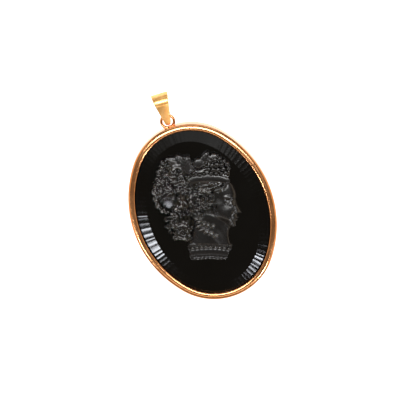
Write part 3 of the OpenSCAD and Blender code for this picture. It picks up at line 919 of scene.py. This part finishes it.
def carve_back_curls(carving):
    """Curls stacked up at the back, and down the outer edge."""
    carving.curls([
        (-9.3, 10.4, 0.85, 200, -1, 1.3), (-9.9, 9.0, 0.80, 160, 1, 1.2),
        (-10.2, 7.6, 0.75, 220, -1, 1.2), (-8.4, 9.3, 0.70, 20, 1, 1.2), (-8.7, 7.8, 0.75, 60, -1, 1.2),
        (-10.45, 6.2, 0.9, 60, 1, 1.0), (-10.7, 4.6, 0.8, 10, 1, 0.9), (-10.55, 3.0, 0.85, -20, -1, 1.0),
        (-10.1, 1.6, 0.85, 0, 1, 1.4), (-9.0, 0.5, 0.75, -60, 1, 1.1), (-9.5, 5.4, 0.7, 180, -1, 1.2),
        (-7.8, 12.3, 0.6, 100, 1, 1.2), (-8.9, 11.6, 0.75, 60, 1, 1.3)])


def carve_hooked_locks(carving):
    """Hooked locks and small curls between the wreath and the knot."""
    carving.lock([(-4.6, 10.2), (-6.0, 10.4), (-7.2, 9.6), (-7.4, 8.4), (-6.8, 7.6), (-6.0, 7.9),
                  (-6.3, 8.5)], 0.85, 0.55, ends=(0.3, 0.6))
    carving.lock([(-3.4, 7.9), (-4.6, 7.5), (-5.8, 7.1), (-7.0, 6.9), (-7.4, 6.2), (-6.8, 5.7)],
                 0.75, 0.52, ends=(0.3, 0.5))
    carving.lock([(-2.9, 9.3), (-4.1, 9.3), (-5.2, 9.0), (-5.9, 8.3)], 0.7, 0.45)
    carving.lock([(-3.2, 6.7), (-4.3, 6.3), (-5.4, 6.0), (-6.2, 5.9)], 0.65, 0.42)
    carving.curls([
        (-3.6, 8.3, 0.5, 30, 1, 1.1), (-4.5, 8.2, 0.4, 90, -1, 1.1), (-3.4, 7.3, 0.45, 200, 1, 1.1),
        (-3.7, 6.3, 0.5, 120, -1, 1.1), (-4.6, 5.6, 0.55, 60, 1, 1.1)], lift=0.4)


def carve_temple_waves(carving):
    """Waves over the temple, etched matt like the face beside them."""
    under = carving.h.copy()
    carving.locks([
        ([(5.3, 7.0), (4.9, 6.0), (3.9, 5.5), (2.9, 5.1), (2.1, 4.5)], 0.75, 0.27),
        ([(4.6, 7.2), (4.0, 6.4), (3.0, 5.9), (2.0, 5.5), (1.1, 5.3), (0.6, 4.7)], 0.75, 0.252),
        ([(3.3, 7.0), (2.4, 6.6), (1.4, 6.2), (0.5, 6.3), (-0.2, 5.8), (-0.3, 5.0)], 0.75, 0.228),
        ([(1.4, 7.0), (0.2, 6.9), (-0.8, 6.6), (-1.3, 5.8), (-1.3, 5.0)], 0.75, 0.216),
        ([(2.4, 4.5), (1.6, 4.4), (0.8, 4.0), (0.0, 4.1), (-0.8, 4.4)], 0.62, 0.30)], strands=1, level=0.98)
    carving.matt = np.where(carving.h > under, carving.h, carving.matt)


def carve_ear_curls(carving):
    """Long locks behind the ear and spiral curls over it."""
    carving.locks([
        ([(-5.0, 4.9), (-4.9, 3.3), (-4.4, 1.8), (-4.6, 0.4)], 0.72, 0.55),
        ([(-4.2, 4.7), (-4.2, 3.1), (-3.6, 1.7), (-3.9, 0.1)], 0.66, 0.50),
        ([(-3.4, 4.8), (-3.5, 3.4), (-2.9, 2.2), (-3.2, 0.8)], 0.60, 0.46),
        ([(-2.8, 1.2), (-2.6, 0.3), (-2.1, -0.5), (-1.9, -1.3)], 0.70, 0.52),
        ([(-2.7, 4.4), (-1.4, 4.5), (-0.2, 4.2), (0.7, 4.3)], 0.55, 0.40)], strands=2, ends=(0.3, 0.35))
    carving.curls([
        (1.7, 2.6, 1.05, 50, 1, 1.8), (-0.4, 2.9, 1.0, 150, -1, 1.8), (0.5, 1.1, 0.95, 210, 1, 1.7),
        (-1.5, 1.2, 0.95, 20, 1, 1.7), (-2.3, 3.0, 0.80, 270, 1, 1.5), (-0.5, -0.4, 0.70, 120, -1, 1.4),
        (1.8, 0.9, 0.55, 90, -1, 1.2), (-2.1, -0.7, 0.70, 60, 1, 1.3), (2.7, 1.5, 0.45, 200, 1, 1.0),
        (0.9, 3.9, 0.45, 10, -1, 1.0)], lift=0.38, share=0.42)


def carve_nape(carving):
    """Tangled locks at the nape, round a large curl."""
    carving.locks([
        ([(-7.6, 0.3), (-6.8, -0.6), (-6.9, -1.7), (-7.8, -2.5)], 0.70, 0.50),
        ([(-6.9, 0.0), (-5.9, -0.6), (-5.7, -1.8), (-6.6, -2.8)], 0.70, 0.44),
        ([(-8.6, -0.7), (-7.7, -1.1), (-6.6, -1.1), (-5.6, -0.4)], 0.66, 0.42),
        ([(-5.9, 0.3), (-4.9, -0.7), (-4.7, -1.9), (-5.3, -2.8)], 0.66, 0.46),
        ([(-4.7, 0.2), (-3.9, -0.9), (-3.9, -2.1), (-4.2, -3.0)], 0.62, 0.46),
        ([(-3.7, -0.2), (-3.0, -1.5), (-3.1, -2.8), (-2.9, -4.2)], 0.60, 0.44),
        ([(-2.6, -1.2), (-2.2, -2.6), (-2.6, -3.8), (-2.6, -5.2)], 0.58, 0.40)], strands=1)
    carving.curls([
        (-7.6, -3.3, 0.8, 120, 1, 1.3), (-8.2, -1.7, 0.6, 60, -1, 1.2),
        (-7.3, -4.6, 0.55, 200, 1, 1.1), (-5.6, -2.3, 0.55, 0, 1, 1.2)])
    carving.curls([
        (-6.3, -6.1, 0.6, 200, 1, 1.1), (-3.0, -6.1, 0.55, 300, -1, 1.1)], lift=0.45)
    carving.curls([
        (-4.7, -4.7, 1.9, 150, 1, 1.3), (-4.4, -4.8, 0.9, 20, -1, 1.2),
        (-5.5, -3.9, 0.6, 200, 1, 1.1)], lift=0.40, share=0.42)


def carve_ringlets(carving):
    """A low ground of ringlets: over the ear, at the nape, between knot and wreath, and at the back."""
    for outline, spacing, radius, lift in (
            ([(-4.4, 4.6), (0.6, 4.3), (2.6, 3.2), (3.3, 1.6), (2.9, -0.1), (1.2, -1.3), (-1.6, -1.2),
              (-4.4, 0.2)], 1.70, 0.60, 0.14),
            ([(-8.8, 0.4), (-3.4, 0.4), (-2.4, -2.8), (-6.4, -2.8), (-7.0, -4.6), (-8.2, -3.4)],
             1.75, 0.62, 0.14),
            ([(-9.6, 10.6), (-4.6, 10.2), (-3.4, 6.2), (-5.0, 5.0), (-9.4, 5.2)], 1.90, 0.68, 0.14),
            ([(-10.7, 6.6), (-9.2, 6.4), (-9.0, 1.2), (-10.2, 1.4)], 1.60, 0.56, 0.12)):
        carving.ringlets(outline, spacing, radius, lift)


def carve_lock_ends(carving):
    """Smooth ends of locks that stand out and catch the light: middle, half length, half width, turn."""
    ground = swell(carving.x, carving.y) + 0.22
    for form in ((-9.2, 10.4, 0.50, 0.34, 20), (-6.5, 8.1, 0.75, 0.48, -8), (-10.7, 4.9, 0.50, 0.40, 120),
                 (-10.4, 2.6, 0.60, 0.40, 100), (-9.9, 1.4, 0.55, 0.40, 130), (-7.2, -2.3, 0.45, 0.32, 40),
                 (-6.0, -6.2, 0.50, 0.36, 30), (4.3, 5.3, 0.60, 0.26, 40), (2.1, 6.7, 0.60, 0.26, 10),
                 (-2.2, 0.3, 0.55, 0.28, 110), (-8.0, 0.1, 0.60, 0.32, 10)):
        q = fill(carving.x, carving.y, form)
        near = (q > -1.2) & (q < 0) & (carving.h > STANDING)
        carving.h = np.where(near, np.minimum(carving.h, ground - 0.05), carving.h)
        carving.raise_to(np.where(q > 0, ground + 0.30 * round_top(q), 0))


def carve_wreath(carving):
    """A smooth ribbon with its loose end, and the leaves over it."""
    carving.lock([(-3.0, 7.2), (-1.4, 7.8), (0.6, 8.0), (3.0, 7.9), (5.5, 7.4)],
                 1.8, 0.14, 0, ends=(0.8, 0.8), channel=0.04)
    carving.lock([(-2.9, 6.5), (-2.2, 5.6), (-1.5, 4.8), (-0.9, 4.2)], 0.42, 0.62, 1, ends=(1.0, 0.4))
    # leaves: middle, length, width, turn, lift, bend
    for leaf in ((-6.9, 12.0, 2.6, 2.0, 160, 0.28, 0.15), (-5.2, 12.3, 2.6, 2.2, 128, 0.34, 0.15),
                 (-3.5, 12.2, 2.0, 1.8, 80, 0.45, -0.1), (-5.6, 11.0, 3.2, 1.8, 196, 0.32, 0.1),
                 (-3.7, 11.0, 4.2, 2.6, 104, 0.62, 0.1), (2.5, 12.9, 2.4, 1.5, 12, 0.40, 0.1),
                 (0.4, 12.5, 3.8, 2.0, 62, 0.58, 0.0)):
        carving.leaf(*leaf)


def carve_berries(carving):
    """Round bud with a ring of small beads, and a bunch of berries in front of it."""
    for x, y, radius in (
            (-2.5, 9.6, 0.42), (-2.75, 8.7, 0.36), (-1.6, 8.9, 0.42), (-0.7, 8.8, 0.42), (0.3, 9.0, 0.4)):
        carving.berry(x, y, radius)
    for x, y in arc(-1.0, 11.3, 1.42, 170, 370, 8):
        carving.berry(x, y, 0.30, 0.40)
    carving.berry(-1.0, 11.4, 1.22, 0.62, eye=0.0)
    for x, y, radius in (
            (1.6, 11.9, 0.55), (2.7, 12.2, 0.6), (3.8, 12.5, 0.58), (4.8, 11.9, 0.55), (2.1, 10.9, 0.6),
            (3.2, 11.1, 0.66), (4.3, 11.1, 0.6), (5.5, 11.2, 0.6), (1.3, 10.1, 0.55), (2.4, 9.9, 0.58),
            (3.5, 9.9, 0.64), (4.7, 10.1, 0.6), (5.8, 10.2, 0.55), (4.2, 9.1, 0.5), (5.2, 9.2, 0.55),
            (3.0, 9.1, 0.48), (1.9, 9.1, 0.5)):
        carving.berry(x, y, radius)


def collar_arch(x):
    """How far the collar's bands rise over a place."""
    return 0.45 * (1 - ((x - 1.5) / 4.6) ** 2)


def carve_collar(carving):
    """Three arched bands with a row of large beads above and one of small beads below."""
    x, y = carving.x, carving.y
    depth = carving.depth_in(smooth_loop(COLLAR))
    h = COLLAR_EDGE + COLLAR_RISE * round_top(1 - ((x - COLLAR_MIDDLE) / COLLAR_REACH) ** 2)
    h = h * (0.6 + 0.4 * quarter_round(depth, 0.18))
    for line_y, cut in ((-8.05, 0.025), (-9.0, 0.025), (-10.1, 0.03)):
        h = h - cut * np.exp(-((y - collar_arch(x) - line_y) / 0.12) ** 2)
    carving.h = np.where(depth > 0, np.maximum(carving.h * (y > -7.9), h), carving.h)
    carving.bright &= depth < 0
    bands = carving.h.copy()
    for i in range(9):
        bead_x = -2.3 + i * 1.02
        bead_y = -8.5 + collar_arch(bead_x)
        carving.berry(bead_x, bead_y, 0.36, 0.34, level=0.98, eye=0.0)
        carving.berry(bead_x * 0.86 + 0.1, bead_y - 2.45, 0.20, 0.10, level=0.84, eye=0.0)
    carving.bright |= carving.h > bands


def press_softly(carving):
    """Keeps high places under the relief's height, with round tops; the knot is low enough as it is."""
    span = RELIEF_HEIGHT - SOFT_TOP
    over = np.clip(carving.h - SOFT_TOP, 0, None)
    pressed = np.minimum(carving.h, SOFT_TOP) + span * (1 - np.exp(-over / span))
    in_knot = (carving.h == carving.matt) & (carving.x < KNOT_LIMIT)
    carving.h = np.where(in_knot, carving.h, pressed)


def carve_head():
    """The whole relief, with a mark on the parts that stay bright."""
    carving = Carving()
    carving.face()
    carving.neck()
    bare = carving.h.copy()
    carving.hair_mass()
    carve_ringlets(carving)
    for carve in (carve_combed_hair, carve_knot, carve_back_curls, carve_hooked_locks,
                  carve_temple_waves, carve_ear_curls, carve_nape, carve_lock_ends):
        carve(carving)
    carving.bright = (carving.h > bare) & (carving.h > carving.matt + 0.01)
    hair = carving.h.copy()
    carve_wreath(carving)
    carve_berries(carving)
    carving.bright &= carving.h <= hair
    dressed = carving.h.copy()
    carving.rope([(-1.5, -1.4), (-0.6, -2.4), (0.7, -2.9), (2.3, -3.3)], 0.50, 0.46)
    carving.rope([(-1.0, -3.2), (0.1, -4.2), (1.5, -4.7), (3.0, -5.6)], 0.50, 0.46)
    carving.bright |= carving.h > dressed
    carve_collar(carving)
    press_softly(carving)
    return carving


def even_patch(inside):
    """The carved places as one patch: gaps are filled, and places that touch at a corner thickened."""
    grown = with_neighbours(with_neighbours(inside))
    outside = np.zeros_like(grown)
    set_border(outside, True)
    before = -1
    while outside.sum() != before:
        before = outside.sum()
        spread = outside
        for _ in range(8):
            spread = with_neighbours(spread) & ~grown
        outside = outside | spread
    kept = ~outside
    set_border(kept, False)
    return kept


def make_head():
    """The raised head as one closed skin that stands a little into the table."""
    carving = carve_head()
    h = blur(np.where(carving.h > 0.02, carving.h, CARVING_FOOT), 1)
    kept = even_patch(h > CARVING_FOOT + 1e-6)
    rows, columns = kept.shape
    cell = kept[:-1, :-1] & kept[1:, :-1] & kept[:-1, 1:] & kept[1:, 1:]
    number = np.arange(rows * columns).reshape(rows, columns)
    quads = np.stack([number[:-1, :-1][cell], number[:-1, 1:][cell],
                      number[1:, 1:][cell], number[1:, :-1][cell]], 1)
    used = np.unique(quads)
    place = np.full(rows * columns, -1)
    place[used] = np.arange(len(used))
    quads = place[quads]
    x, y = turned(carving.x.ravel()[used], carving.y.ravel()[used] - HEAD_DROP, HEAD_LEAN)
    points = np.stack([x, y, TABLE_HEIGHT + h.ravel()[used]], 1)
    piece = piece_from("raised_head", points.tolist(), [], quads.tolist())
    mesh = piece.data
    mesh.polygons.foreach_set("material_index", carving.bright[:-1, :-1][cell].astype(int))

    # the flat foot closes the skin from below
    work = bmesh.new()
    work.from_mesh(mesh)
    rim = [e for e in work.edges if e.is_boundary]
    for edge in rim:
        for vert in edge.verts:
            vert.co.z = (TABLE_HEIGHT + CARVING_FOOT) * MM
    bmesh.ops.contextual_create(work, geom=rim)
    bmesh.ops.recalc_face_normals(work, faces=work.faces)
    work.to_mesh(mesh)
    work.free()
    shade(piece, 60)
    return piece


def bail_path():
    """Side view of the folded strip: points on its middle line with their outward directions."""
    tip = (TIP_RADIUS - TIP_REACH, -TIP_DROP)
    roll = (ROLL_DISTANCE, ROLL_RADIUS - RING_HEIGHT)
    reach = (roll[0] - tip[0], roll[1] - tip[1])
    heading = math.degrees(math.atan2(reach[1], reach[0]))
    lean = math.degrees(math.acos((TIP_RADIUS - ROLL_RADIUS) / math.hypot(*reach)))
    out = []

    def sweep(centre, radius, start, end, steps):
        for i in range(steps):
            a = math.radians(start + (end - start) * i / steps)
            out.append((centre, radius, a))

    def straight(start, end, start_radius, end_radius, turn):
        for i in range(STRAIGHT_STEPS):
            t = i / STRAIGHT_STEPS
            centre = (start[0] + (end[0] - start[0]) * t, start[1] + (end[1] - start[1]) * t)
            radius = (start_radius + (end_radius - start_radius) * t) - STRIP / 2
            out.append((centre, radius, math.radians(turn)))

    sweep(roll, ROLL_RADIUS - STRIP / 2, heading + lean, heading - lean, ROLL_STEPS)
    straight(roll, tip, ROLL_RADIUS, TIP_RADIUS, heading - lean)
    sweep(tip, TIP_RADIUS - STRIP / 2, heading - lean, heading + lean - 360, TIP_STEPS)
    straight(tip, roll, TIP_RADIUS, ROLL_RADIUS, heading + lean)
    return out


def bail_half_width(along):
    """Half the strip's width at a distance from the ring's centre."""
    top = ROLL_DISTANCE + ROLL_RADIUS
    taper = (BAIL_WIDTH - WAIST_WIDTH) / 2 / top
    straight = WAIST_WIDTH / 2 + along * taper
    nose = (WAIST_WIDTH / 2 - TIP_REACH * taper) / (math.sqrt(1 + taper ** 2) - taper)
    nose_centre = nose - TIP_REACH
    if along < nose_centre - nose * math.sin(math.atan(taper)):
        return math.sqrt(max(nose ** 2 - (along - nose_centre) ** 2, NOSE_LEAST ** 2))
    return straight


def make_bail():
    """A tapered strip folded over the ring and closed into a loop, with softly rounded edges."""
    points = []
    for (cx, cy), radius, a in bail_path():
        for side in (1, -1):
            r = radius + side * STRIP / 2
            along, height = cx + r * math.cos(a), cy + r * math.sin(a)
            half = bail_half_width(along)
            points += [(-half, along, height), (half, along, height)]
    count = len(points) // 4
    faces = []
    for i in range(count):
        a, b = 4 * i, 4 * ((i + 1) % count)
        faces += [(a, a + 1, b + 1, b), (a + 3, a + 2, b + 2, b + 3),
                  (a + 2, a, b, b + 2), (a + 1, a + 3, b + 3, b + 1)]
    turn = math.radians(BAIL_SKEW)
    c, s = math.cos(turn), math.sin(turn)
    placed = [(x * c + y * s, RING_Y + y * c - x * s, RING_HEIGHT + z) for x, y, z in points]
    piece = piece_from("satin_bail", placed, [], faces)
    close_seams(piece)
    bevel = piece.modifiers.new("edges", "BEVEL")
    bevel.width = BAIL_EDGE * MM
    bevel.segments = 3
    bevel.limit_method = "ANGLE"
    bevel.angle_limit = math.radians(50)
    apply_all(piece)
    shade(piece, 35)
    return piece


def make_floor():
    bpy.ops.mesh.primitive_plane_add(size=FLOOR_SIDE, location=(0, 0, -FLOOR_DROP * MM))
    floor = bpy.context.active_object
    floor.name = "floor"
    floor.data.materials.append(glowing_white_board())


def picture_axes():
    """The picture's right and up on the floor, in the pendant's frame."""
    up = Vector((math.sin(IMAGE_UP_TURN), math.cos(IMAGE_UP_TURN), 0))
    right = Vector((up.y, -up.x, 0))
    return right, up


def make_camera():
    """Looks down on the pendant from beyond the picture's upper edge."""
    right, up = picture_axes()
    sky = Vector((0, 0, 1))
    back = up * math.cos(VIEW_ELEVATION) + sky * math.sin(VIEW_ELEVATION)
    tall = sky.cross(right) * math.sin(VIEW_ELEVATION) - sky * math.cos(VIEW_ELEVATION)
    off_x = (PHOTO_SIZE / 2 - OVAL_PIXEL[0]) / PIXELS_PER_MM
    off_y = (OVAL_PIXEL[1] - PHOTO_SIZE / 2) / PIXELS_PER_MM
    aim = Vector((0, 0, OVAL_HEIGHT)) + right * off_x + tall * off_y
    data = bpy.data.cameras.new("camera")
    camera = bpy.data.objects.new("camera", data)
    bpy.context.scene.collection.objects.link(camera)
    axes = Matrix((right, tall, back)).transposed().to_4x4()
    camera.matrix_world = Matrix.Translation((aim + back * VIEW_DISTANCE) * MM) @ axes
    data.sensor_width = 36
    data.lens = data.sensor_width * VIEW_DISTANCE / (PHOTO_SIZE / PIXELS_PER_MM)
    data.clip_start = 0.01
    data.clip_end = 10
    bpy.context.scene.camera = camera


def make_lamp(name, direction, distance, size, power, tint="FFFFFF"):
    """A softbox that faces the pendant, its direction given on the picture's axes."""
    right, up = picture_axes()
    towards = (right * direction[0] + up * direction[1] + Vector((0, 0, direction[2]))).normalized()
    data = bpy.data.lights.new(name, "AREA")
    data.shape = "RECTANGLE"
    data.size, data.size_y = size
    data.energy = power
    data.color = linear(tint)[:3]
    lamp = bpy.data.objects.new(name, data)
    bpy.context.scene.collection.objects.link(lamp)
    wide = (right - towards * right.dot(towards)).normalized()
    axes = Matrix((wide, towards.cross(wide), towards)).transposed().to_4x4()
    lamp.matrix_world = Matrix.Translation(towards * distance) @ axes


def make_light():
    """Two small lamps and a softbox below the picture, softboxes above it, and dim warm walls."""
    make_lamp("left_lamp", (-0.537, -0.507, 0.674), 0.5, (0.054, 0.054), 0.34, "F4F7FF")
    make_lamp("right_lamp", (0.5, -0.561, 0.66), 0.5, (0.056, 0.056), 0.50, "F2F5FF")
    make_lamp("upper_lamp", (0.0, 0.225, 0.974), 1.0, (0.86, 0.12), 8.5)
    make_lamp("wide_softbox", (0.0, 0.454, 0.891), 1.0, (1.35, 0.27), 0.16)
    make_lamp("upper_softbox", (0.08, 0.454, 0.891), 1.0, (0.75, 0.27), 0.25)
    make_lamp("lower_softbox", (0.0, -0.62, 0.79), 1.0, (0.8, 0.2), 1.0, "FFF1E0")
    make_lamp("far_panel", (0.0, 0.87, 0.50), 1.0, (1.2, 0.2), 1.2)
    make_lamp("left_wall", (-0.95, 0.0, 0.31), 1.0, (0.6, 1.6), 3.0, "FFE9CC")
    make_lamp("right_wall", (0.95, 0.0, 0.31), 1.0, (0.6, 1.6), 3.0, "FFE9CC")
    make_lamp("lower_wall", (0.0, -0.98, 0.17), 1.0, (1.6, 0.4), 1.0, "FFE9CC")
    world = bpy.data.worlds.new("room")
    world.use_nodes = True
    background = world.node_tree.nodes["Background"]
    background.inputs["Color"].default_value = linear("625849")
    background.inputs["Strength"].default_value = 1.0
    bpy.context.scene.world = world
    bpy.context.scene.view_settings.view_transform = "Standard"


def dress(piece, materials, body, slot, *nodes):
    for material in materials:
        piece.data.materials.append(material)
    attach(piece, body)
    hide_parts(*nodes)


bpy.ops.object.select_all(action="DESELECT")
matt_glass = pressed_black_glass("matt_black_glass", 1.52, 0.235, 0.295)
bright_glass = pressed_black_glass("mould_bright_black_glass", 1.8, 0.05, 0.08)
dress(make_bezel(), [polished_rose_gold_plate()], "setting", "bezel_gold", "bezel")
dress(make_stone(), [polished_black_glass()], "setting", "black_glass", "stone")
dress(make_head(), [matt_glass, bright_glass], "setting", "black_glass", "stone")
dress(make_bail(), [satin_yellow_gold_plate()], "bail", "bail_gold", "bail")
make_floor()
make_camera()
make_light()
